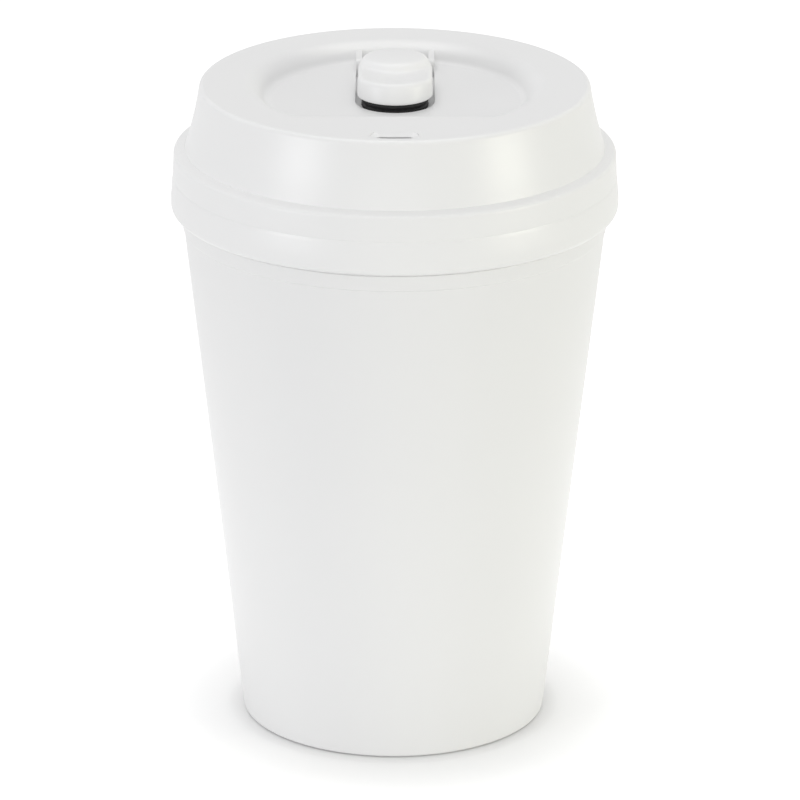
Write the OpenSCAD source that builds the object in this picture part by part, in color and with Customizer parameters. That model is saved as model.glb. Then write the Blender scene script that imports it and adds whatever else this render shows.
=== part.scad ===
// Reusable to-go cup: a tapered beaker, a press-on lid and a flip stopper with a rubber seal.
// Millimetres. The foot stands on z = 0, the sip slot faces -Y and the stopper's hinge is at +Y.

/* [Cup] */
// Height of the cup to its lip, without the lid
cup_h = 121.2; // [100:0.1:150]
// Outer radius of the tapered wall where it would meet the table
foot_r = 31.8; // [28:0.05:36]
// Inner radius of the mouth
mouth_r = 42.2; // [39:0.1:46]
// Thickness of the tapered wall, measured level
wall_t = 1.95; // [1.2:0.05:2.6]
// Thickness of the neck that the lid fits round
neck_t = 1.6; // [1.2:0.1:1.7]
// Height of the neck above its ledge
neck_h = 10.6; // [9:0.1:14]
// Height of the collar below the ledge
collar_h = 3.6; // [2:0.1:8]
// How far the collar stands out of the wall
collar_proud = 0.25; // [0.1:0.05:0.6]
// Width of the foot ring
foot_w = 3.2; // [2.4:0.1:5]
// Height of the hollow under the base
foot_rise = 1.6; // [0.8:0.1:4]
// Thickness of the base
floor_t = 2; // [1.4:0.1:3.5]
// Width of the bevel round the outside of the foot ring
foot_bevel = 1.4; // [1.2:0.1:2]
// Height of the bevel's outer edge above the table
foot_lift = 0.35; // [0.1:0.05:0.8]
// Radius between the bevel and the wall
foot_round = 0.6; // [0.3:0.1:0.8]
// Radius inside the cup between wall and base
floor_round = 4; // [1:0.5:8]

/* [Lid band] */
// Gap between the band and the neck
neck_gap = 0.35; // [0.25:0.05:0.6]
// Gap between the lip and the lid at rest
seat_gap = 0.2; // [0.1:0.05:0.4]
// Gap between the ledge and the band's lower edge
ledge_gap = 0.3; // [0.2:0.05:1]
// Thickness of the band at the bead round its lower edge
band_t = 2.3; // [1.8:0.1:3]
// How far the bead stands out of the lower stage
bead_out = 0.1; // [0.05:0.05:0.5]
// Height of the bead
bead_h = 3; // [2:0.1:4]
// Height over which each step of the band fades
step_fade = 1; // [0.2:0.1:1.2]
// How much the lower stage of the band narrows on its way up
lower_draft = 0.2; // [0.1:0.05:0.5]
// Step between the two stages of the band
stage_step = 0.12; // [0.05:0.01:0.3]
// Depth of the fine crease between the two stages
stage_crease = 0.1; // [0.05:0.01:0.15]
// How much the upper stage of the band narrows on its way up
upper_draft = 0.18; // [0.1:0.01:0.4]
// Height of the upper stage of the band
stage_h = 5.2; // [3:0.1:7]
// Radius of the band's lower outer edge
band_round = 1.4; // [0.5:0.1:1.6]
// Radius of the shoulder's outer edge
shoulder_round = 0.8; // [0.4:0.1:1.2]
// Width of the shoulder between band and skirt
shoulder_w = 2.35; // [1.5:0.05:4]
// Rise of the shoulder from its outer edge to the skirt
shoulder_rise = 0.5; // [0.2:0.1:1]
// Thickness of the lid over the lip
roof_t = 2.2; // [1.6:0.1:3]

/* [Lid top] */
// Height of the skirt
skirt_h = 13.6; // [10:0.1:20]
// How far the skirt leans in on its way up
skirt_lean = 3.15; // [1:0.05:5]
// Share of that lean that the skirt's hollow curve takes
skirt_hollow = 0.4; // [0:0.05:0.8]
// Thickness of the skirt
skirt_t = 1.7; // [1.4:0.1:1.9]
// Thickness of the top and of the recess floor
top_t = 1.8; // [1.4:0.1:2.4]
// Radius of the top's outer edge
rim_round = 1; // [0.4:0.1:1.5]
// Width of the flat ring round the recess, to where its edge starts to roll over
rim_land = 8.35; // [7.5:0.05:9.5]
// Depth of the recess
recess_d = 3.5; // [3:0.1:4]
// Steepness that the recess's rolled edge reaches at its foot, in degrees
recess_slope = 58; // [50:1:65]
// Radius where the recess wall meets its floor
recess_foot = 2.1; // [1.5:0.1:2.6]
// Width of the level land in front of the recess
front_land = 16.2; // [14:0.1:18]

/* [Sip slot] */
// Length of the sip slot round the rim
slot_l = 8; // [6:0.1:14]
// Width of the sip slot
slot_w = 2.4; // [1.8:0.1:2.6]
// Land between the sip slot and the top's outer edge
slot_land = 2.1; // [2:0.05:2.4]
// Width of the ramp that leads into the slot from behind
ramp_w = 1.8; // [1:0.1:2.2]
// Depth of the ramp where it meets the slot
ramp_d = 0.9; // [0.5:0.1:1]
// How much longer the ramp is than the slot
ramp_l = 2; // [1:0.1:3]

/* [Plug wall and its ring] */
// Gap between the plug wall and the mouth
plug_gap = 0.9; // [0.6:0.1:1.4]
// Thickness of the plug wall
plug_t = 1.9; // [1.7:0.1:2.6]
// Depth of the plug wall below the lip
plug_d = 8.2; // [7:0.1:9]
// Height of the ring's groove
groove_h = 3.4; // [2.6:0.1:4]
// Depth of the ring's groove
groove_d = 0.8; // [0.5:0.1:1]
// Land below the groove
groove_land = 1.4; // [1:0.1:2]
// Clearance round the ring in its groove
ring_fit = 0.05; // [0.03:0.01:0.1]
// Clearance between the ring's lips and the mouth
ring_gap = 0.1; // [0.06:0.01:0.2]
// Number of lips on the ring
ring_lips = 2; // [1:1:3]

/* [Stopper] */
// Half the width of the stopper's tab, and the radius of its two round ends
tab_r = 7.8; // [7.4:0.05:8.6]
// Thickness of the tab at its nose
tab_t = 4.2; // [3.4:0.1:5]
// Radius of the tab's upper edge
tab_round = 0.9; // [0.4:0.1:1]
// Distance from the hinge to the centre of the nose
reach = 23.4; // [21:0.1:25]
// Distance from the hinge to the start of the recess's rolled edge behind it
hinge_back = 10.2; // [9.5:0.1:11.5]
// Height of the tab's underside above the recess floor
tab_lift = 1.3; // [1:0.05:1.6]
// Radius of the round boss on the back of the tab
boss_r = 7.2; // [6.6:0.05:7.4]
// Distance from the hinge to the centre of the boss
boss_l = 14.25; // [13:0.05:15]
// Height of the boss above the tab
boss_h = 2; // [1.6:0.1:2.6]
// Radius of the boss's upper edge
boss_round = 1.9; // [1:0.1:2.2]
// Crown radius of the boss's top
boss_crown = 36; // [30:1:60]
// Half the width of the arm between the boss and the hinge
arm_w = 6.35; // [6:0.05:6.6]
// Distance from the boss's front to the centre of the thumb dish
dish_l = 3.9; // [3.4:0.1:4.2]
// Depth of the thumb dish behind the nose
dish_d = 0.5; // [0.2:0.05:0.6]
// Radius of the thumb dish's ball
dish_r = 14; // [12:1:18]

/* [Hinge] */
// Radius of the hinge pin
pin_r = 0.75; // [0.6:0.05:0.8]
// Running clearance between the pin and the stopper
pin_fit = 0.05; // [0.03:0.01:0.08]
// Depth of the pin's axis below the top of the lid
pin_drop = 2.45; // [2.4:0.05:2.6]
// Radius of the stopper's knuckle
knuckle_r = 1.8; // [1.6:0.05:1.9]
// Depth of the ears' tops below the top of the lid
ear_drop = 1.2; // [1:0.05:1.2]
// Thickness of each ear
ear_t = 1.25; // [1.1:0.05:1.8]
// Side gap between the knuckle and each ear
ear_gap = 0.6; // [0.3:0.05:0.8]
// Distance from the hinge to the front of the ears
ear_l = 2; // [1.8:0.1:3]

/* [Port and its seal] */
// Depth of the well that the stopper lies in
well_d = 1.2; // [1:0.1:1.4]
// Side gap between the tab and the edge of the well
well_gap = 0.4; // [0.3:0.05:0.8]
// Radius of the port through the lid
port_r = 5.6; // [5:0.1:6.2]
// Radius of the seal's flange
flange_r = 6.95; // [6.6:0.05:7.3]
// Gap between the seal's flange and the floor of the well
seal_gap = 0.1; // [0.05:0.05:0.2]
// Clearance between the seal's stem and the port
stem_gap = 0.25; // [0.2:0.05:0.4]
// How much the seal's stem narrows towards its end
stem_taper = 0.55; // [0.4:0.05:0.8]
// Length of the seal's stem below the well
stem_l = 2.6; // [2.2:0.1:3.2]
// Radius of the stopper's stud that holds the seal
stud_r = 2.4; // [1.8:0.1:2.8]
// Radius of the stud's head
head_r = 3.2; // [2.9:0.1:3.4]
// Height of the stud's head
head_h = 0.9; // [0.7:0.1:1.2]
// Thickness of the seal under the stud's head
tip_t = 1.1; // [0.8:0.1:1.4]
// Clearance between the stud and the seal
stud_fit = 0.05; // [0.03:0.01:0.1]

/* [Hidden] */
$fn = 96;
eps = 0.01;
over = 1;
white = [0.93, 0.935, 0.93];
black = [0.07, 0.07, 0.075];
steel = [0.75, 0.76, 0.78];

// Cup
ledge_z = cup_h - neck_h;
wall_top_r = mouth_r + wall_t;
wall_lean = (wall_top_r - foot_r) / ledge_z;
neck_r = mouth_r + neck_t;
floor_z = foot_rise + floor_t;

// Lid band
band_z = ledge_z + ledge_gap;
band_in_r = neck_r + neck_gap;
band_out_r = band_in_r + band_t;
roof_z = cup_h + seat_gap;
crease_z = roof_z + roof_t + shoulder_rise;
shoulder_z = crease_z - shoulder_rise;
stage_z = shoulder_z - stage_h;
bead_z = band_z + bead_h;
stage_low_r = band_out_r - bead_out - lower_draft;
stage_high_r = stage_low_r - stage_step;
band_top_r = stage_high_r - upper_draft;

// Lid top
crease_r = band_top_r - shoulder_w;
rim_z = crease_z + skirt_h;
rim_r = crease_r - skirt_lean;
recess_r = rim_r - rim_land;
recess_z = rim_z - recess_d;
front_y = front_land - rim_r;
recess_round = recess_d / (1 - cos(recess_slope)) - recess_foot;
plug_r = mouth_r - plug_gap;
plug_in_r = plug_r - plug_t;
plug_z = cup_h - plug_d;
groove_z = plug_z + groove_land;
lead = 0.5;

// Stopper
hinge_y = recess_r - hinge_back;
hinge_z = rim_z - pin_drop;
nose_y = hinge_y - reach;
tab_z = recess_z + tab_lift;
well_z = recess_z - well_d;
well_r = tab_r + well_gap;
tab_top = tab_z + tab_t;
boss_y = hinge_y - boss_l;
dish_y = boss_y - boss_r - dish_l;
ear_x = arm_w + ear_gap;
ear_y = hinge_y - ear_l;
ear_z = rim_z - ear_drop;
ear_round = 1.2;
well_back_y = hinge_y + knuckle_r + well_gap;
stem_z = well_z - stem_l;
head_z = stem_z + tip_t;

// Points on an arc round c from angle a0 to a1, both ends included
function arc(c, r, a0, a1, n = 8) =
  [for (i = [0:n]) let (a = a0 + (a1 - a0) * i / n) c + r * [cos(a), sin(a)]];

// Outer radius of the cup's tapered wall at height z
function wall_r(z) = foot_r + wall_lean * z;

// Outer radius of the lid's skirt at a share t of the way down
function skirt_r(t) = rim_r + skirt_lean * ((1 - skirt_hollow) * t + skirt_hollow * t * t);

// Centre radius of a rounding of radius r that touches a wall leaning by lean, at height z
function tangent_r(wall, r, lean) = wall - r / cos(lean);

module spin(points) {
  rotate_extrude() polygon(points);
}

// A level section swept round a nose and straight back: half is its right half, in [x, z]
module nose_sweep(half, centre_y, back_y) {
  left = [for (i = [len(half) - 1:-1:0]) [-half[i][0], half[i][1]]];
  translate([0, centre_y, 0]) rotate([0, 0, 180]) rotate_extrude(angle = 180) polygon(half);
  translate([0, back_y, 0]) rotate([90, 0, 0])
    linear_extrude(back_y - centre_y) polygon(concat(half, left));
}

module across(radius, width, y, z) {
  translate([-width / 2, y, z]) rotate([0, 90, 0]) cylinder(r = radius, h = width);
}

module cup() {
  collar_z = ledge_z - collar_h;
  lean = atan(wall_lean);
  lip = neck_t / 2;
  edge_z = foot_lift + foot_round;
  outer = concat(
    [[0, foot_rise], [foot_r - foot_w - foot_rise / 2, foot_rise], [foot_r - foot_w, 0]],
    [[foot_r - foot_bevel, 0]],
    arc([tangent_r(wall_r(edge_z), foot_round, lean), edge_z], foot_round, -90, -lean),
    [[wall_r(collar_z), collar_z]],
    [[wall_r(collar_z) + collar_proud, collar_z + collar_proud]],
    [[wall_top_r + collar_proud, ledge_z], [neck_r, ledge_z]],
    arc([neck_r - lip, cup_h - lip], lip, 0, 180, 12));
  round_z = floor_z + floor_round;
  inner = concat(
    [[mouth_r, ledge_z]],
    arc([tangent_r(wall_r(round_z) - wall_t, floor_round, lean), round_z], floor_round, -lean, -90),
    [[0, floor_z]]);
  color(white) spin(concat(outer, inner));
}

// The recess, swollen by grow into the lid: a round pan with a rolled edge and a straight front
module recess(grow) {
  low = recess_z - grow;
  roll = arc([recess_r, rim_z - recess_round], recess_round - grow, 90, 90 + recess_slope, 12);
  bend = recess_foot + grow;
  foot_r = recess_r - (recess_round + recess_foot) * sin(recess_slope);
  foot = arc([foot_r, low + bend], bend, recess_slope - 90, -90);
  edge = concat([[recess_r, rim_z + recess_round]], roll, [for (i = [1:len(foot) - 1]) foot[i]]);
  front = [for (p = edge) [recess_r + front_y - p[0], p[1]]];
  intersection() {
    spin(concat([[0, rim_z + recess_round]], edge, [[0, low]]));
    translate([-rim_r, 0, 0]) rotate([90, 0, 90]) linear_extrude(2 * rim_r)
      polygon(concat([[rim_r, rim_z + recess_round]], front, [[rim_r, low]]));
  }
}

// The well under the stopper, swollen by grow: it narrows to pass between the ears
module well(grow) {
  low = well_z - grow;
  half = [[0, low], [well_r + grow, low], [well_r + grow, rim_z], [0, rim_z]];
  nose_sweep(half, nose_y, ear_y + grow);
  translate([-ear_x - grow, nose_y, low])
    cube([2 * (ear_x + grow), well_back_y + grow - nose_y, rim_z - low]);
}

// Two walls that carry the hinge pin, rounded at their upper front
module ears() {
  side = concat([[ear_y, well_z]], arc([ear_y + ear_round, ear_z - ear_round], ear_round, 180, 90),
    [[recess_r, ear_z], [recess_r, well_z]]);
  for (x = [-ear_x - ear_t, ear_x])
    translate([x, 0, 0]) rotate([90, 0, 90]) linear_extrude(ear_t) polygon(side);
}

// A slot bent round the rim, with round ends, from height low up past the top
module bent_slot(mid_r, width, length, low) {
  turn = (length - width) / mid_r * 90 / PI;
  high = rim_z + over;
  half = [[0, low], [width / 2, low], [width / 2, high], [0, high]];
  rotate([0, 0, -90 - turn]) rotate_extrude(angle = 2 * turn)
    translate([mid_r - width / 2, low]) square([width, high - low]);
  for (side = [-1, 1]) rotate([0, 0, side * turn]) translate([0, -mid_r, 0])
    rotate([0, 0, -90 * side]) rotate_extrude(angle = 180) polygon(half);
}

// The sip slot and the ramp that leads into it from behind, with its foot just inside the slot
module sip_slot() {
  ledge = 0.2;
  slope = ramp_d / ramp_w;
  out_r = rim_r - slot_land;
  in_r = out_r - slot_w - ramp_w;
  high = rim_z + over * slope;
  low = rim_z - (ramp_w + ledge) * slope;
  bent_slot(out_r - slot_w / 2, slot_w, slot_l, rim_z - 2 * top_t);
  intersection() {
    bent_slot((in_r + out_r) / 2 - ledge, slot_w + ramp_w, slot_l + ramp_l, rim_z - top_t);
    spin([[in_r - over, high], [in_r + ramp_w + ledge, low], [rim_r, low], [rim_r, high]]);
  }
}

// Outside of the lid as a solid of revolution, down to the band's lower edge
function lid_outside() =
  let (
    top_lean = atan(skirt_lean * (1 - skirt_hollow) / skirt_h),
    top_x = tangent_r(skirt_r(rim_round / skirt_h), rim_round, top_lean),
    roll = arc([top_x, rim_z - rim_round], rim_round, 90, top_lean),
    steps = 12,
    first = rim_round / skirt_h,
    skirt = [for (i = [1:steps]) let (t = first + (1 - first) * i / steps)
      [skirt_r(t), rim_z - t * skirt_h]],
    slope = atan(shoulder_rise / (shoulder_w - shoulder_round)),
    shoulder = arc([band_top_r - shoulder_round, shoulder_z - shoulder_round], shoulder_round,
      90 - slope, 0),
    stages = [[stage_high_r, stage_z], [stage_high_r - stage_crease, stage_z - 2 * stage_crease],
      [stage_low_r, stage_z - step_fade]],
    bead = [[band_out_r - bead_out, bead_z + step_fade], [band_out_r, bead_z]],
    lower = arc([band_out_r - band_round, band_z + band_round], band_round, 0, -90))
  concat([[0, rim_z]], roll, skirt, shoulder, stages, bead, lower, [[0, band_z]]);

// Inside of the lid: the channel over the neck, the plug wall with its groove, and the dome
function lid_inside() =
  let (
    deck_z = roof_z + top_t,
    steps = 8,
    top = top_t / skirt_h,
    skirt = [for (i = [0:steps]) let (t = 1 - (1 - top) * i / steps)
      [skirt_r(t) - skirt_t, rim_z - t * skirt_h]])
  concat(
    [[0, band_z - lead], [band_in_r + 2 * lead, band_z - lead], [band_in_r, band_z + lead]],
    [[band_in_r, roof_z], [plug_r, roof_z]],
    [[plug_r, groove_z + groove_h], [plug_r - groove_d, groove_z + groove_h]],
    [[plug_r - groove_d, groove_z], [plug_r, groove_z]],
    [[plug_r, plug_z + lead], [plug_r - lead, plug_z], [plug_in_r, plug_z], [plug_in_r, deck_z]],
    [[crease_r - skirt_t, deck_z]], skirt, [[0, rim_z - top_t]]);

module lid() {
  color(white) difference() {
    spin(lid_outside());
    difference() {
      spin(lid_inside());
      recess(top_t);
      well(top_t);
    }
    difference() {
      union() {
        recess(0);
        well(0);
      }
      ears();
    }
    translate([0, nose_y, well_z - 2 * top_t]) cylinder(r = port_r, h = 2 * top_t + eps);
    sip_slot();
    across(pin_r, 2 * (ear_x + ear_t + over), hinge_y, hinge_z);
  }
}

module lid_seal() {
  in_r = plug_r - groove_d + ring_fit;
  low = groove_z + ring_fit;
  high = groove_z + groove_h - ring_fit;
  pitch = (high - low) / ring_lips;
  lip_share = 0.3;
  lip = pitch * lip_share;
  body_r = plug_r + ring_fit;
  tip_r = mouth_r - ring_gap - lip;
  color(black) rotate_extrude() {
    polygon([[in_r, low], [body_r, low], [body_r, high], [in_r, high]]);
    for (i = [0:ring_lips - 1]) let (z = low + pitch * (i + 0.5)) {
      translate([tip_r, z]) circle(lip);
      translate([in_r, z - lip]) square([tip_r - in_r, 2 * lip]);
    }
  }
}

module stopper() {
  draft = 0.15;
  low_round = 0.3;
  tab_half = concat(
    [[0, tab_z]], arc([tab_r - low_round, tab_z + low_round], low_round, -90, 0, 4),
    arc([tab_r - draft - tab_round, tab_top - tab_round], tab_round, 0, 90), [[0, tab_top]]);
  boss_top = tab_top + boss_h;
  tilt = asin((boss_r - boss_round) / (boss_crown - boss_round));
  crown = arc([0, boss_top - boss_crown], boss_crown, 90, 90 - tilt, 6);
  edge_c = [0, boss_top - boss_crown] + (boss_crown - boss_round) * [sin(tilt), cos(tilt)];
  edge = arc(edge_c, boss_round, 90 - tilt, 0, 10);
  boss = concat([[0, tab_z]], crown, [for (i = [1:len(edge) - 1]) edge[i]], [[boss_r, tab_z]]);
  arm = [[boss_y, tab_z], [hinge_y, hinge_z - knuckle_r], [hinge_y, hinge_z + knuckle_r],
    [boss_y, hinge_z + knuckle_r]];
  color(white) difference() {
    union() {
      difference() {
        nose_sweep(tab_half, nose_y, boss_y);
        translate([0, dish_y, tab_top + dish_r - dish_d]) sphere(dish_r);
      }
      translate([0, boss_y, 0]) rotate_extrude(angle = 180) polygon(tab_half);
      translate([0, boss_y, 0]) spin(boss);
      translate([-arm_w, 0, 0]) rotate([90, 0, 90]) linear_extrude(2 * arm_w) polygon(arm);
      across(knuckle_r, 2 * arm_w, hinge_y, hinge_z);
      translate([0, nose_y, head_z]) cylinder(r = stud_r, h = tab_z - head_z + eps);
      translate([0, nose_y, head_z]) cylinder(r = head_r, h = head_h);
    }
    across(pin_r + pin_fit, 2 * (arm_w + over), hinge_y, hinge_z);
  }
}

module stopper_seal() {
  flange_z = well_z + seal_gap;
  lip = (tab_z - flange_z) / 4;
  stem_r = port_r - stem_gap;
  tip_r = stem_r - stem_taper;
  tip_round = 1;
  lip_r = flange_r - lip;
  pocket = head_r + stud_fit;
  outside = concat(
    [[0, stem_z]], arc([tip_r - tip_round, stem_z + tip_round], tip_round, -90, 0),
    [[stem_r, flange_z]], arc([lip_r, flange_z + lip], lip, -90, 60),
    arc([lip_r, tab_z - lip], lip, -60, 90), [[0, tab_z]]);
  color(black) translate([0, nose_y, 0]) difference() {
    spin(outside);
    translate([0, 0, head_z]) cylinder(r = stud_r + stud_fit, h = tab_z);
    translate([0, 0, head_z - stud_fit]) cylinder(r = pocket, h = head_h + 2 * stud_fit);
  }
}

module hinge_pin() {
  color(steel) across(pin_r, 2 * (ear_x + ear_t), hinge_y, hinge_z);
}

cup();
lid();
lid_seal();
stopper();
stopper_seal();
hinge_pin();
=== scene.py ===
"""Looks of the to-go cup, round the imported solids.

Geometry Nodes rebuild the cup's wall finely, the lid gets softened edges, and the stopper's boss
is blended into its tab. Each piece gets its finish. The cup stands on a pale floor under soft
studio light, seen by a camera matched to the photograph.
"""

import logging
import math
from dataclasses import dataclass, field
from enum import Enum

import bmesh
import bpy
from mathutils import Matrix, Vector

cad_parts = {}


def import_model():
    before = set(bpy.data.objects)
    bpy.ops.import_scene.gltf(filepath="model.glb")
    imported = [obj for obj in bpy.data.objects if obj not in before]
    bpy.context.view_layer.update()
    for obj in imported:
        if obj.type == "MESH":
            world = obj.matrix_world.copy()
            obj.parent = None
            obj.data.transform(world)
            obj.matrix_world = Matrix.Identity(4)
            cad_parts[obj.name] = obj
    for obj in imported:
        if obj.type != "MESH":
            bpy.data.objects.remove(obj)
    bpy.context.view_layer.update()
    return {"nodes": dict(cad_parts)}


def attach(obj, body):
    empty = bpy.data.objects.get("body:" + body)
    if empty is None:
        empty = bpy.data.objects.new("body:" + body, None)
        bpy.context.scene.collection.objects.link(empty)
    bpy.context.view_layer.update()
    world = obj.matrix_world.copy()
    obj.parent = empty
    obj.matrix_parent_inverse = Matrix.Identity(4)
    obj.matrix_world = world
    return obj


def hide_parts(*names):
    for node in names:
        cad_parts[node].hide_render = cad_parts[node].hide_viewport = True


LOG = logging.getLogger("to_go_cup")
MM = 0.001

# Corners nearer than this are one corner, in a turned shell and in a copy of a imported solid.
SHELL_MERGE = 0.001 * MM
COPY_MERGE = 0.002 * MM
# Keeps the first point of each row in its own row when the row is found by division.
ROW_GUARD = 0.5 / 1024
NOISE_MIDDLE = 0.5
NORMAL_WEIGHT = 50

Point = tuple[float, float]
Colour = tuple[float, float, float]
Number = float | int


class Body(Enum):
    """The rigid bodies that the pieces ride on."""

    CUP = "cup"
    LID = "lid"
    STOPPER = "stopper"


class Term:
    """A socket's value in a tree, with arithmetic that adds the Math nodes it stands for."""

    def __init__(self, tree: "Tree", socket: bpy.types.NodeSocket) -> None:
        """Wraps an output socket.

        Args:
            tree: The tree, which adds the nodes.
            socket: The output socket that carries the value.
        """
        self.tree = tree
        self.socket = socket

    def _math(self, operation: str, *values: "Term | Number") -> "Term":
        """Adds a Math node on these values and returns its result."""
        inputs = dict(enumerate(values))
        return self.tree.add("ShaderNodeMath", {"operation": operation}, inputs)[0]

    def __add__(self, other: "Term | Number") -> "Term":
        """This value plus another."""
        return self._math("ADD", self, other)

    def __radd__(self, other: Number) -> "Term":
        """A number plus this value."""
        return self._math("ADD", other, self)

    def __sub__(self, other: "Term | Number") -> "Term":
        """This value minus another."""
        return self._math("SUBTRACT", self, other)

    def __rsub__(self, other: Number) -> "Term":
        """A number minus this value."""
        return self._math("SUBTRACT", other, self)

    def __mul__(self, other: "Term | Number") -> "Term":
        """This value times another."""
        return self._math("MULTIPLY", self, other)

    def __rmul__(self, other: Number) -> "Term":
        """A number times this value."""
        return self._math("MULTIPLY", other, self)

    def __truediv__(self, other: "Term | Number") -> "Term":
        """This value divided by another."""
        return self._math("DIVIDE", self, other)

    def __rtruediv__(self, other: Number) -> "Term":
        """A number divided by this value."""
        return self._math("DIVIDE", other, self)

    def whole(self) -> "Term":
        """This value rounded down."""
        return self._math("FLOOR", self)

    def cosine(self) -> "Term":
        """The cosine of this angle in radians."""
        return self._math("COSINE", self)

    def sine(self) -> "Term":
        """The sine of this angle in radians."""
        return self._math("SINE", self)

    def root(self) -> "Term":
        """The square root of this value."""
        return self._math("SQRT", self)

    def share(self) -> "Term":
        """This value as a smooth share, held at 0 below 0 and at 1 above 1."""
        return self.step(0.0, 1.0)

    def step(self, low: Number, high: Number) -> "Term":
        """Rises smoothly from 0 to 1 as this value goes from low to high.

        Args:
            low: The value at which the result leaves 0.
            high: The value at which the result reaches 1. It may be below low.

        Returns:
            The smooth share.
        """
        settings = {"interpolation_type": "SMOOTHSTEP"}
        if low < high:
            return self.tree.add("ShaderNodeMapRange", settings,
                                 {"Value": self, "From Min": low, "From Max": high})[0]
        return 1 - self.step(high, low)


class Outputs:
    """The outputs of a node, as terms, by number or name."""

    def __init__(self, tree: "Tree", node: bpy.types.Node) -> None:
        """Wraps a node of the tree."""
        self.tree = tree
        self.node = node

    def __getitem__(self, key: int | str) -> Term:
        """The output of that number or name."""
        return Term(self.tree, self.node.outputs[key])


class Tree:
    """A node tree that is filled through one method."""

    def __init__(self, tree: bpy.types.NodeTree) -> None:
        """Takes over a tree and empties it."""
        self.tree = tree
        self.tree.nodes.clear()

    def add(self, kind: str, settings: dict[str, object] | None = None,
            inputs: dict[int | str, object] | None = None) -> Outputs:
        """Adds a node.

        Args:
            kind: The node's type.
            settings: Attributes that are set first. "items" is how many an Index Switch has.
            inputs: Values or terms for its sockets, by number or name.

        Returns:
            The node's outputs.
        """
        node = self.tree.nodes.new(kind)
        for name, value in (settings or {}).items():
            if name == "items":
                while len(node.index_switch_items) < value:
                    node.index_switch_items.new()
            else:
                setattr(node, name, value)
        for key, value in (inputs or {}).items():
            if isinstance(value, Term):
                self.tree.links.new(value.socket, node.inputs[key])
            else:
                node.inputs[key].default_value = value
        return Outputs(self, node)


class FinishTree(Tree):
    """A material's node tree."""

    def __init__(self, name: str) -> None:
        """Starts an empty material of that name."""
        self.material = bpy.data.materials.new(name)
        self.material.use_nodes = True
        super().__init__(self.material.node_tree)

    def place(self) -> Term:
        """The point's place on the piece, in metres."""
        return self.add("ShaderNodeTexCoord")["Object"]

    def noise(self, scale: float, detail: float = 2.0, stretch: Point | None = None) -> Term:
        """Noise on the piece's own coordinates, from 0 to 1.

        Args:
            scale: Lumps in a metre.
            detail: Octaves of finer lumps.
            stretch: Shares of the scale along Y and Z, where they differ from that along X.

        Returns:
            The noise's value.
        """
        where = self.place()
        if stretch:
            where = self.add("ShaderNodeMapping", {},
                             {"Vector": where, "Scale": (1.0, *stretch)})[0]
        return self.add("ShaderNodeTexNoise", {},
                        {"Vector": where, "Scale": scale, "Detail": detail})["Fac"]

    def mix(self, share: Term, first: Colour, second: Colour) -> Term:
        """A colour between two, by a share."""
        return self.add("ShaderNodeMix", {"data_type": "RGBA"},
                        {0: share, 6: (*first, 1.0), 7: (*second, 1.0)})[2]

    def bump(self, height: Term, depth: float, normal: Term | None = None) -> Term:
        """Normals of a surface raised by a height from 0 to 1.

        Args:
            height: The height's share at each point.
            depth: The full height, in metres.
            normal: Normals that this relief lies on, if any.

        Returns:
            The bent normals.
        """
        inputs = {"Height": height, "Distance": depth, "Strength": 1.0}
        if normal:
            inputs["Normal"] = normal
        return self.add("ShaderNodeBump", {}, inputs)[0]

    def close(self, shader: Term) -> bpy.types.Material:
        """Ends the tree in this shader and returns the material."""
        self.add("ShaderNodeOutputMaterial", {}, {"Surface": shader})
        return self.material


@dataclass(frozen=True)
class MouldedPlastic:
    """White polypropylene from a satin mould: faintly wavy, finely grained, rubbed at the foot."""

    name: str
    colour: Colour = (0.80, 0.80, 0.80)
    shade: Colour = (0.785, 0.786, 0.787)
    roughness: float = 0.36
    roughness_spread: float = 0.06
    waviness: float = 0.02 * MM
    grain: float = 0.002 * MM
    rubbed_low: float = 0.0
    rubbed_high: float = 1.6 * MM
    rubbed_roughness: float = 0.3
    cloud_scale: float = 38.0
    rubbed_scale: float = 700.0
    speck_scale: float = 2600.0
    wave_scale: float = 85.0
    grain_scale: float = 5200.0
    refraction: float = 1.49

    def material(self) -> bpy.types.Material:
        """Builds the material."""
        tree = FinishTree(self.name)
        height = tree.add("ShaderNodeSeparateXYZ", {}, {0: tree.place()})["Z"]
        cloud = tree.noise(self.cloud_scale, detail=3.0)
        low_down = height.step(self.rubbed_high, self.rubbed_low)
        rubbed = low_down * tree.noise(self.rubbed_scale, detail=4.0)
        rough = (self.roughness + (cloud - NOISE_MIDDLE) * self.roughness_spread
                 + (tree.noise(self.speck_scale) - NOISE_MIDDLE) * self.roughness_spread
                 + rubbed * self.rubbed_roughness)
        waves = tree.bump(tree.noise(self.wave_scale, detail=1.0), self.waviness)
        relief = tree.bump(tree.noise(self.grain_scale), self.grain, waves)
        shader = tree.add("ShaderNodeBsdfPrincipled", {}, {
            "Base Color": tree.mix(cloud, self.shade, self.colour),
            "Roughness": rough, "Normal": relief, "IOR": self.refraction, "Metallic": 0.0})
        return tree.close(shader["BSDF"])


@dataclass(frozen=True)
class MouldedRubber:
    """Black silicone with a soft satin skin and a trace of dust."""

    name: str
    colour: Colour = (0.012, 0.012, 0.013)
    dust: Colour = (0.03, 0.03, 0.031)
    roughness: float = 0.5
    dust_roughness: float = 0.15
    dust_scale: float = 900.0
    dust_from: float = 0.45
    dust_to: float = 0.75
    grain: float = 0.01 * MM
    grain_scale: float = 3200.0
    refraction: float = 1.43

    def material(self) -> bpy.types.Material:
        """Builds the material."""
        tree = FinishTree(self.name)
        dusty = tree.noise(self.dust_scale, detail=4.0).step(self.dust_from, self.dust_to)
        shader = tree.add("ShaderNodeBsdfPrincipled", {}, {
            "Base Color": tree.mix(dusty, self.colour, self.dust),
            "Roughness": self.roughness + dusty * self.dust_roughness,
            "Normal": tree.bump(tree.noise(self.grain_scale), self.grain),
            "IOR": self.refraction, "Metallic": 0.0})
        return tree.close(shader["BSDF"])


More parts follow.
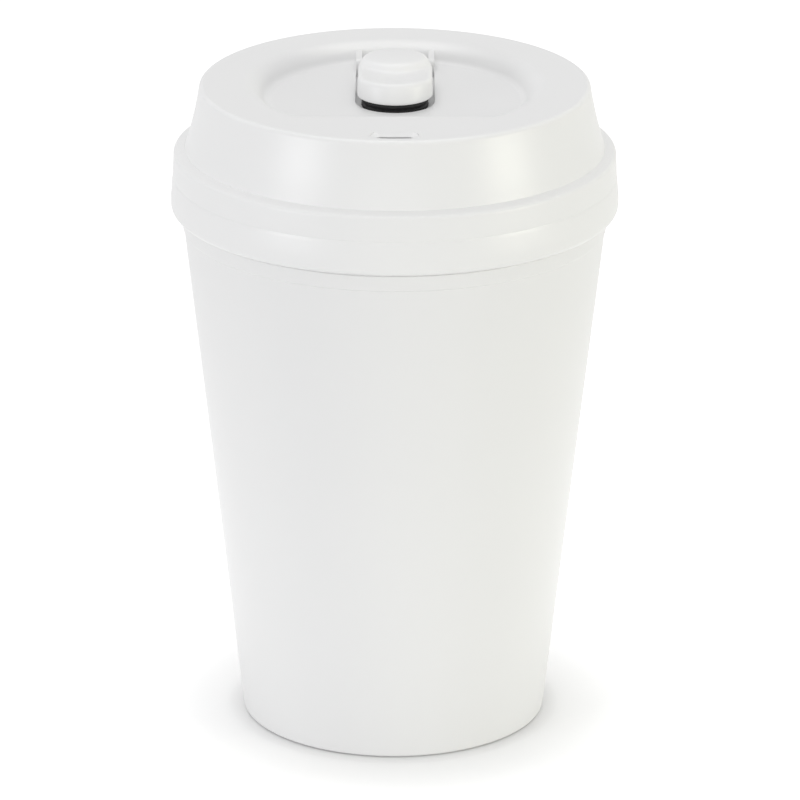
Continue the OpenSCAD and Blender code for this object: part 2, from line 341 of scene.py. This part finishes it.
@dataclass(frozen=True)
class DrawnSteel:
    """Stainless wire with fine lines along its length."""

    name: str
    colour: Colour = (0.56, 0.57, 0.58)
    dark: Colour = (0.46, 0.47, 0.48)
    roughness: float = 0.28
    roughness_spread: float = 0.15
    line_scale: float = 300.0
    line_stretch: Point = (30.0, 30.0)

    def material(self) -> bpy.types.Material:
        """Builds the material."""
        tree = FinishTree(self.name)
        lines = tree.noise(self.line_scale, detail=3.0, stretch=self.line_stretch)
        shader = tree.add("ShaderNodeBsdfPrincipled", {}, {
            "Base Color": tree.mix(lines, self.dark, self.colour),
            "Roughness": self.roughness + (lines - NOISE_MIDDLE) * self.roughness_spread,
            "Metallic": 1.0})
        return tree.close(shader["BSDF"])


Finish = MouldedPlastic | MouldedRubber | DrawnSteel


@dataclass(frozen=True)
class MatchedCamera:
    """The camera fitted to the photograph, its lens worked out for a frame of 800 by 800 pixels.
    """

    elevation: float = 19.84
    distance: float = 1365.2 * MM
    aim_height: float = 68.08 * MM
    aside: float = 1.23 * MM
    roll: float = 0.18
    focal_pixels: float = 6500.0
    frame_pixels: float = 800.0
    sensor: float = 36.0
    clip_start: float = 0.1
    clip_end: float = 20.0

    def place(self) -> None:
        """Adds the camera and makes it the scene's own."""
        data = bpy.data.cameras.new("matched_camera")
        data.sensor_width = self.sensor
        data.lens = self.sensor * self.focal_pixels / self.frame_pixels
        data.clip_start, data.clip_end = self.clip_start, self.clip_end
        camera = bpy.data.objects.new("matched_camera", data)
        bpy.context.scene.collection.objects.link(camera)
        angle = math.radians(self.elevation)
        spot = Vector((self.aside, -self.distance * math.cos(angle),
                       self.aim_height + self.distance * math.sin(angle)))
        tilt = Matrix.Rotation(math.pi / 2 - angle, 4, "X")
        turn = Matrix.Rotation(math.radians(self.roll), 4, "Z")
        camera.matrix_world = Matrix.Translation(spot) @ tilt @ turn
        bpy.context.scene.camera = camera


@dataclass(frozen=True)
class SoftBox:
    """A lamp with a wide bright face that looks at a point."""

    name: str
    place: tuple[float, float, float]
    aim: tuple[float, float, float]
    width: float
    height: float
    power: float
    tint: Colour = (1.0, 1.0, 1.0)

    def light(self) -> None:
        """Adds the lamp, turned towards its aim."""
        data = bpy.data.lights.new(self.name, "AREA")
        data.shape = "RECTANGLE"
        data.size, data.size_y = self.width, self.height
        data.energy = self.power
        data.color = self.tint
        lamp = bpy.data.objects.new(self.name, data)
        bpy.context.scene.collection.objects.link(lamp)
        way = Vector(self.aim) - Vector(self.place)
        lamp.matrix_world = (Matrix.Translation(Vector(self.place))
                             @ way.to_track_quat("-Z", "Y").to_matrix().to_4x4())


@dataclass
class Studio:
    """A pale floor that shows white and keeps the shadow, with a painted contact shadow round the
    foot, an even white room and soft boxes.
    """

    floor_side: float = 6.0
    floor_colour: Colour = (0.92, 0.92, 0.92)
    outer_colour: Colour = (0.60, 0.60, 0.60)
    outer_from: float = 0.10
    outer_to: float = 0.30
    floor_glow: float = 0.55
    # Painted shadow: the floor's glow is dimmed within these widths of the foot, which darkens the
    # floor there.
    foot_radius: float = 32.0 * MM
    painted_contact_width: float = 5.0 * MM
    painted_contact_share: float = 0.20
    painted_shadow_width: float = 48.0 * MM
    room_light: float = 0.80
    shown_white: float = 1.0
    boxes: list[SoftBox] = field(default_factory=lambda: [
        SoftBox("key_box", place=(-0.08, 0.28, 1.22), aim=(0.0, 0.0, 0.10),
                width=0.9, height=0.9, power=4.4),
        SoftBox("left_box", place=(-0.95, -0.72, 0.20), aim=(0.0, 0.0, 0.08),
                width=0.5, height=0.3, power=3.6, tint=(0.985, 0.99, 1.0)),
        SoftBox("right_box", place=(1.08, -0.52, 0.20), aim=(0.0, 0.0, 0.08),
                width=0.5, height=0.3, power=4.2, tint=(1.0, 1.0, 0.85)),
        SoftBox("front_box", place=(-0.10, -1.25, 0.50), aim=(0.0, 0.0, 0.08),
                width=0.8, height=0.4, power=1.4),
    ])

    def lay_floor(self) -> None:
        """Adds the floor, which glows to the camera away from the foot, so that it shows white;
        the dimmed glow near the foot is a painted contact shadow over the real one.
        """
        half = self.floor_side / 2
        mesh = bpy.data.meshes.new("floor")
        mesh.from_pydata([(-half, -half, 0), (half, -half, 0), (half, half, 0), (-half, half, 0)],
                         [], [(0, 1, 2, 3)])
        floor = bpy.data.objects.new("floor", mesh)
        bpy.context.scene.collection.objects.link(floor)
        tree = FinishTree("pale_floor")
        ring = tree.add("ShaderNodeVectorMath", {"operation": "LENGTH"},
                        {0: tree.place()})["Value"]
        # Painted shadow: the glow dims to nothing towards the foot, which darkens the floor round
        # it beyond its real shadow.
        contact = ring.step(self.foot_radius, self.foot_radius + self.painted_contact_width)
        shadow = ring.step(self.foot_radius, self.foot_radius + self.painted_shadow_width)
        away = contact * self.painted_contact_share + shadow * (1.0 - self.painted_contact_share)
        outer = ring.step(self.outer_from, self.outer_to)
        colour = tree.mix(outer, self.floor_colour, self.outer_colour)
        matt = tree.add("ShaderNodeBsdfDiffuse", {}, {"Color": colour})["BSDF"]
        glow = tree.add("ShaderNodeEmission", {}, {"Strength": self.floor_glow})["Emission"]
        lit = tree.add("ShaderNodeAddShader", {}, {0: matt, 1: glow})["Shader"]
        shown = tree.add("ShaderNodeMixShader", {}, {0: seen_share(tree) * away, 1: matt, 2: lit})
        mesh.materials.append(tree.close(shown["Shader"]))

    def paint_room(self) -> None:
        """Makes the world an even light, which shows as plain white behind the object."""
        world = bpy.data.worlds.new("white_room")
        world.use_nodes = True
        bpy.context.scene.world = world
        tree = Tree(world.node_tree)
        room = tree.add("ShaderNodeBackground", {}, {"Strength": self.room_light})["Background"]
        white = tree.add("ShaderNodeBackground", {}, {"Strength": self.shown_white})["Background"]
        back = tree.add("ShaderNodeMixShader", {}, {0: seen_share(tree), 1: room, 2: white})
        tree.add("ShaderNodeOutputWorld", {}, {"Surface": back["Shader"]})

    def build(self) -> None:
        """Lays the floor, paints the room and hangs the soft boxes."""
        self.lay_floor()
        self.paint_room()
        for box in self.boxes:
            box.light()
        bpy.context.scene.view_settings.view_transform = "Standard"


def seen_share(tree: Tree) -> Term:
    """The share of rays that show the backdrop: from the camera, or off and through gloss."""
    path = tree.add("ShaderNodeLightPath")
    either = path["Is Camera Ray"] + path["Is Glossy Ray"] + path["Is Transmission Ray"]
    return tree.add("ShaderNodeClamp", {}, {"Value": either})[0]


@dataclass(frozen=True)
class Corner:
    """A corner of a turned section, in millimetres.

    Attributes:
        out: Distance from the axis.
        up: Height.
        rounding: Radius that the corner is rounded to.
    """

    out: Term | Number
    up: Term | Number
    rounding: Term | Number = 0.0


class ShapeTree(Tree):
    """A Geometry Nodes tree with named sizes, which can turn a rounded section about an axis."""

    def __init__(self, name: str, sizes: dict[str, float]) -> None:
        """Starts a tree with a named input for each size.

        Args:
            name: The tree's name.
            sizes: The named sizes in millimetres.
        """
        super().__init__(bpy.data.node_groups.new(name, "GeometryNodeTree"))
        sockets = self.tree.interface
        sockets.new_socket(name="Piece", in_out="OUTPUT", socket_type="NodeSocketGeometry")
        sockets.new_socket(name="Start", in_out="INPUT", socket_type="NodeSocketGeometry")
        self.values: dict[str, float] = {}
        for size, value in sizes.items():
            socket = sockets.new_socket(name=size, in_out="INPUT", socket_type="NodeSocketFloat")
            self.values[socket.identifier] = value
        self.size = self.add("NodeGroupInput")

    def point(self, out: Term | Number, aside: Term | Number, up: Term | Number) -> Term:
        """A vector from its three parts."""
        return self.add("ShaderNodeCombineXYZ", {}, {0: out, 1: aside, 2: up})[0]

    def section(self, corners: list[Corner], cuts: int) -> Term:
        """The section's line, with its corners rounded.

        Args:
            corners: The corners, from one end of the line to the other.
            cuts: Points on each rounding.

        Returns:
            The line, in millimetres, in the XZ plane.
        """
        items = len(corners)
        index = self.add("GeometryNodeInputIndex")[0]
        places = {n: self.point(corner.out, 0.0, corner.up) for n, corner in enumerate(corners, 1)}
        place = self.add("GeometryNodeIndexSwitch", {"data_type": "VECTOR", "items": items},
                         {0: index, **places})[0]
        radii = {n: corner.rounding for n, corner in enumerate(corners, 1)}
        radius = self.add("GeometryNodeIndexSwitch", {"data_type": "FLOAT", "items": items},
                          {0: index, **radii})[0]
        line = self.add("GeometryNodeMeshLine", {}, {"Count": items})[0]
        bent = self.add("GeometryNodeSetPosition", {}, {"Geometry": line, "Position": place})[0]
        curve = self.add("GeometryNodeMeshToCurve", {}, {"Mesh": bent})[0]
        return self.add("GeometryNodeFilletCurve", {"mode": "POLY"},
                        {"Curve": curve, "Count": cuts, "Radius": radius, "Limit Radius": True})[0]

    def turned(self, section: Term, around: int) -> Term:
        """Turns a section about the Z axis into a closed shell, in metres.

        Args:
            section: The section's line, from the axis or any point round to its other end.
            around: Number of steps in a full turn.

        Returns:
            The shell.
        """
        rows = self.add("GeometryNodeAttributeDomainSize", {"component": "CURVE"},
                        {"Geometry": section})["Point Count"]
        grid = self.add("GeometryNodeMeshGrid", {},
                        {"Vertices X": around + 1, "Vertices Y": rows})[0]
        index = self.add("GeometryNodeInputIndex")[0]
        column = (index / rows + ROW_GUARD).whole()
        spot = self.add("GeometryNodeInputPosition")[0]
        sample = self.add("GeometryNodeSampleIndex",
                          {"data_type": "FLOAT_VECTOR", "domain": "POINT"},
                          {"Geometry": section, "Value": spot, "Index": index - column * rows})[0]
        parts = self.add("ShaderNodeSeparateXYZ", {}, {0: sample})
        angle = column * (math.tau / around)
        out = parts["X"] * MM
        place = self.point(out * angle.cosine(), out * angle.sine(), parts["Z"] * MM)
        bent = self.add("GeometryNodeSetPosition", {}, {"Geometry": grid, "Position": place})[0]
        return self.add("GeometryNodeMergeByDistance", {},
                        {"Geometry": bent, "Distance": SHELL_MERGE})[0]

    def close(self, shell: Term, material: bpy.types.Material) -> None:
        """Ends the tree in real, smooth geometry of this material."""
        real = self.add("GeometryNodeRealizeInstances", {}, {"Geometry": shell})[0]
        smooth = self.add("GeometryNodeSetShadeSmooth", {}, {"Geometry": real})[0]
        dressed = self.add("GeometryNodeSetMaterial", {},
                           {"Geometry": smooth, "Material": material})[0]
        self.add("NodeGroupOutput", {}, {0: dressed})

    def make(self, name: str, maker: bpy.types.Object | None = None) -> bpy.types.Object:
        """Runs the tree and keeps its result as a plain mesh.

        Args:
            name: The piece's name.
            maker: The object that the tree starts from, or none where it starts from nothing.

        Returns:
            The piece, without modifiers.
        """
        maker = maker or new_maker(name)
        nodes = maker.modifiers.new("shape", "NODES")
        nodes.node_group = self.tree
        for identifier, value in self.values.items():
            nodes[identifier] = value
        weigh_normals(maker)
        return kept(maker, name)


def new_maker(name: str, source: bpy.types.Object | None = None) -> bpy.types.Object:
    """Adds an object that modifiers can shape.

    Args:
        name: The name of the piece that it is for.
        source: The object whose mesh it starts from, with shared corners merged.

    Returns:
        The object.
    """
    mesh = bpy.data.meshes.new(f"{name}_maker")
    if source:
        form = bmesh.new()
        form.from_mesh(source.data)
        bmesh.ops.remove_doubles(form, verts=form.verts, dist=COPY_MERGE)
        for face in form.faces:
            face.smooth = True
        form.to_mesh(mesh)
        form.free()
    maker = bpy.data.objects.new(f"{name}_maker", mesh)
    bpy.context.scene.collection.objects.link(maker)
    return maker


def weigh_normals(piece: bpy.types.Object) -> None:
    """Adds the modifier that lets large faces keep their own normals beside small roundings."""
    weights = piece.modifiers.new("weights", "WEIGHTED_NORMAL")
    weights.mode = "FACE_AREA"
    weights.weight = NORMAL_WEIGHT
    weights.keep_sharp = False


def kept(maker: bpy.types.Object, name: str) -> bpy.types.Object:
    """Turns an object with modifiers into one with a plain mesh.

    Args:
        maker: The object with its modifiers, which is removed.
        name: The new object's name.

    Returns:
        The plain object.
    """
    seen = maker.evaluated_get(bpy.context.evaluated_depsgraph_get())
    mesh = bpy.data.meshes.new_from_object(seen)
    maker.modifiers.clear()
    bpy.data.objects.remove(maker)
    mesh.name = name
    piece = bpy.data.objects.new(name, mesh)
    bpy.context.scene.collection.objects.link(piece)
    return piece


def paint(piece: bpy.types.Object, finish: Finish) -> None:
    """Gives a piece this finish alone."""
    piece.data.materials.clear()
    piece.data.materials.append(finish.material())


def stand_in(skin: bpy.types.Object, node: str, body: Body) -> bpy.types.Object:
    """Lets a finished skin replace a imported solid.

    Args:
        skin: The skin.
        node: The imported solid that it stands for.
        body: The body that it rides on.

    Returns:
        The skin.
    """
    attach(skin, body.value)
    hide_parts(node)
    LOG.info("%s: %d faces", skin.name, len(skin.data.polygons))
    return skin


@dataclass
class Beaker:
    """The tapered cup: a turned wall with a foot ring, a collar, a ledge and a thin neck.

    Sizes and roundings are in millimetres.
    """

    around: int = 288
    cuts: int = 6
    hollow_rounding: float = 0.8
    ring_rounding: float = 0.3
    bevel_rounding: float = 0.2
    collar_rounding: float = 0.3
    ledge_rounding: float = 0.35
    neck_rounding: float = 0.2
    lip_share: float = 0.49
    step_rounding: float = 2.0
    sizes: dict[str, float] = field(default_factory=lambda: {
        "Height": 121.2, "Foot radius": 31.8, "Mouth radius": 42.2, "Wall": 1.95, "Neck": 1.6,
        "Neck height": 10.6, "Collar height": 3.6, "Collar proud": 0.25, "Foot width": 3.2,
        "Foot rise": 1.6, "Foot bevel": 1.4, "Foot lift": 0.35, "Foot rounding": 0.6, "Base": 2.0,
        "Floor rounding": 4.0})
    finish: MouldedPlastic = MouldedPlastic(
        "cup_plastic", colour=(0.775, 0.775, 0.775), shade=(0.76, 0.761, 0.762))

    def build(self, nodes: dict[str, bpy.types.Object]) -> bpy.types.Object:
        """Makes the cup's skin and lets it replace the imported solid.

        Args:
            nodes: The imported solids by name, which this piece doesn't start from.

        Returns:
            The skin's object.
        """
        tree = ShapeTree("beaker_shape", self.sizes)
        size = tree.size
        top, mouth, wall, neck = size["Height"], size["Mouth radius"], size["Wall"], size["Neck"]
        foot, ledge = size["Foot radius"], size["Height"] - size["Neck height"]
        lean = (mouth + wall - foot) / ledge
        collar, proud = ledge - size["Collar height"], size["Collar proud"]
        floor = size["Foot rise"] + size["Base"]
        hollow = foot - size["Foot width"] - size["Foot rise"] / 2
        corners = [
            Corner(0.0, size["Foot rise"]),
            Corner(hollow, size["Foot rise"], self.hollow_rounding),
            Corner(foot - size["Foot width"], 0.0, self.ring_rounding),
            Corner(foot - size["Foot bevel"], 0.0, self.bevel_rounding),
            Corner(foot + lean * size["Foot lift"], size["Foot lift"], size["Foot rounding"]),
            Corner(foot + lean * collar, collar, self.collar_rounding),
            Corner(foot + lean * collar + proud, collar + proud, self.collar_rounding),
            Corner(mouth + wall + proud, ledge, self.ledge_rounding),
            Corner(mouth + neck, ledge, self.neck_rounding),
            Corner(mouth + neck, top, neck * self.lip_share),
            Corner(mouth, top, neck * self.lip_share),
            Corner(mouth, ledge, self.step_rounding),
            Corner(foot + lean * floor - wall, floor, size["Floor rounding"]),
            Corner(0.0, floor),
        ]
        shell = tree.turned(tree.section(corners, self.cuts), self.around)
        tree.close(shell, self.finish.material())
        return stand_in(tree.make("cup_skin"), "cup", Body.CUP)


@dataclass
class SoftenedLid:
    """The lid with its sharp edges slightly rounded and a shallower ramp behind the sip slot.

    The ramp is found between two radii, below the top and in front of the axis.
    """

    finish: MouldedPlastic = MouldedPlastic("lid_plastic")
    width: float = 0.16 * MM
    segments: int = 2
    sharp_from: float = 32.0
    top: float = 137.7 * MM
    ramp_depth: float = 1.3 * MM
    ramp_inside: float = 33.4 * MM
    ramp_outside: float = 38.2 * MM
    ramp_half: float = 6.5 * MM
    ramp_share: float = 0.5

    def raise_ramp(self, mesh: bpy.types.Mesh) -> None:
        """Brings the ramp behind the sip slot nearer to the top.

        Args:
            mesh: The lid's merged mesh.
        """
        for corner in mesh.vertices:
            depth = self.top - corner.co.z
            in_front = corner.co.y < 0 and abs(corner.co.x) < self.ramp_half
            in_ring = self.ramp_inside < corner.co.xy.length < self.ramp_outside
            if in_front and in_ring and 0 < depth < self.ramp_depth:
                corner.co.z = self.top - depth * self.ramp_share

    def build(self, nodes: dict[str, bpy.types.Object]) -> bpy.types.Object:
        """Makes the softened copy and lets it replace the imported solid.

        Args:
            nodes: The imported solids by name.

        Returns:
            The copy's object.
        """
        maker = new_maker("lid_skin", nodes["lid"])
        self.raise_ramp(maker.data)
        bevel = maker.modifiers.new("edges", "BEVEL")
        bevel.width = self.width
        bevel.segments = self.segments
        bevel.limit_method = "ANGLE"
        bevel.angle_limit = math.radians(self.sharp_from)
        weigh_normals(maker)
        skin = kept(maker, "lid_skin")
        paint(skin, self.finish)
        return stand_in(skin, "lid", Body.LID)


@dataclass
class BlendedStopper:
    """The flip stopper, whose round boss flows into the tab and whose nose leans back a little.

    The named sizes are in millimetres, apart from "Edge softness", which is a share.
    """

    voxel: float = 0.15 * MM
    rounds: int = 36
    sizes: dict[str, float] = field(default_factory=lambda: {
        "Boss place": 7.55, "Boss radius": 7.2, "Tab top": 139.7, "Tab base": 135.5,
        "Nose place": -1.6, "Nose radius": 7.8, "Nose lean": 0.9, "Blend depth": 1.0,
        "Blend width": 2.0, "Edge softness": 0.06})
    finish: MouldedPlastic = MouldedPlastic("stopper_plastic")

    def build(self, nodes: dict[str, bpy.types.Object]) -> bpy.types.Object:
        """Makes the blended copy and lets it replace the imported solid.

        Args:
            nodes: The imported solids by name.

        Returns:
            The copy's object.
        """
        maker = new_maker("stopper_skin", nodes["stopper"])
        remesh = maker.modifiers.new("even_grid", "REMESH")
        remesh.mode = "VOXEL"
        remesh.voxel_size = self.voxel
        remesh.use_smooth_shade = True
        tree = ShapeTree("stopper_shape", self.sizes)
        tree.close(self.blended(tree), self.finish.material())
        skin = tree.make("stopper_skin", maker)
        return stand_in(skin, "stopper", Body.STOPPER)

    def blended(self, tree: ShapeTree) -> Term:
        """Leans the nose back and blurs the boss's edges into the tab.

        Args:
            tree: The tree that works on the even grid.

        Returns:
            The blended shape.
        """
        size = tree.size
        here = tree.add("GeometryNodeInputPosition")[0]
        parts = tree.add("ShaderNodeSeparateXYZ", {}, {0: here})
        across, along, up = parts["X"] / MM, parts["Y"] / MM, parts["Z"] / MM
        rise = (up - size["Tab base"]) / (size["Tab top"] - size["Tab base"])
        front = (size["Nose place"] - along) / size["Nose radius"]
        lean = rise.share() * front.share() * size["Nose lean"] * MM
        leaned = tree.add("GeometryNodeSetPosition", {},
                          {"Geometry": size["Start"], "Offset": tree.point(0.0, lean, 0.0)})[0]
        behind = along - size["Boss place"]
        out = (across * across + behind * behind).root()
        near = 1 - ((out - size["Boss radius"]) / size["Blend width"]).share()
        high = ((up - size["Tab top"]) / size["Blend depth"] + 1).share()
        weight = near * high * (1 - size["Edge softness"]) + size["Edge softness"]
        spot = tree.add("GeometryNodeInputPosition")[0]
        soft = tree.add("GeometryNodeBlurAttribute", {"data_type": "FLOAT_VECTOR"},
                        {"Value": spot, "Iterations": self.rounds, "Weight": weight})[0]
        return tree.add("GeometryNodeSetPosition", {}, {"Geometry": leaned, "Position": soft})[0]


@dataclass
class DressedNode:
    """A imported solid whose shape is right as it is, with its finish."""

    node: str
    finish: Finish

    def build(self, nodes: dict[str, bpy.types.Object]) -> bpy.types.Object:
        """Gives the solid its material.

        Args:
            nodes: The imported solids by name.

        Returns:
            The solid's object.
        """
        solid = nodes[self.node]
        paint(solid, self.finish)
        LOG.info("%s: %d faces", self.node, len(solid.data.polygons))
        return solid


def main() -> None:
    """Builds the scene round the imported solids."""
    logging.basicConfig(level=logging.INFO, format="%(name)s: %(message)s")
    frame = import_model()
    MatchedCamera().place()
    Studio().build()
    nodes = frame["nodes"]
    pieces = [
        Beaker(),
        SoftenedLid(),
        DressedNode("lid_seal", MouldedRubber("ring_rubber")),
        BlendedStopper(),
        DressedNode("stopper_seal", MouldedRubber("plug_rubber")),
        DressedNode("hinge_pin", DrawnSteel("pin_steel")),
    ]
    built = [piece.build(nodes) for piece in pieces]
    LOG.info("%d pieces are dressed", len(built))


if __name__ == "__main__":
    main()
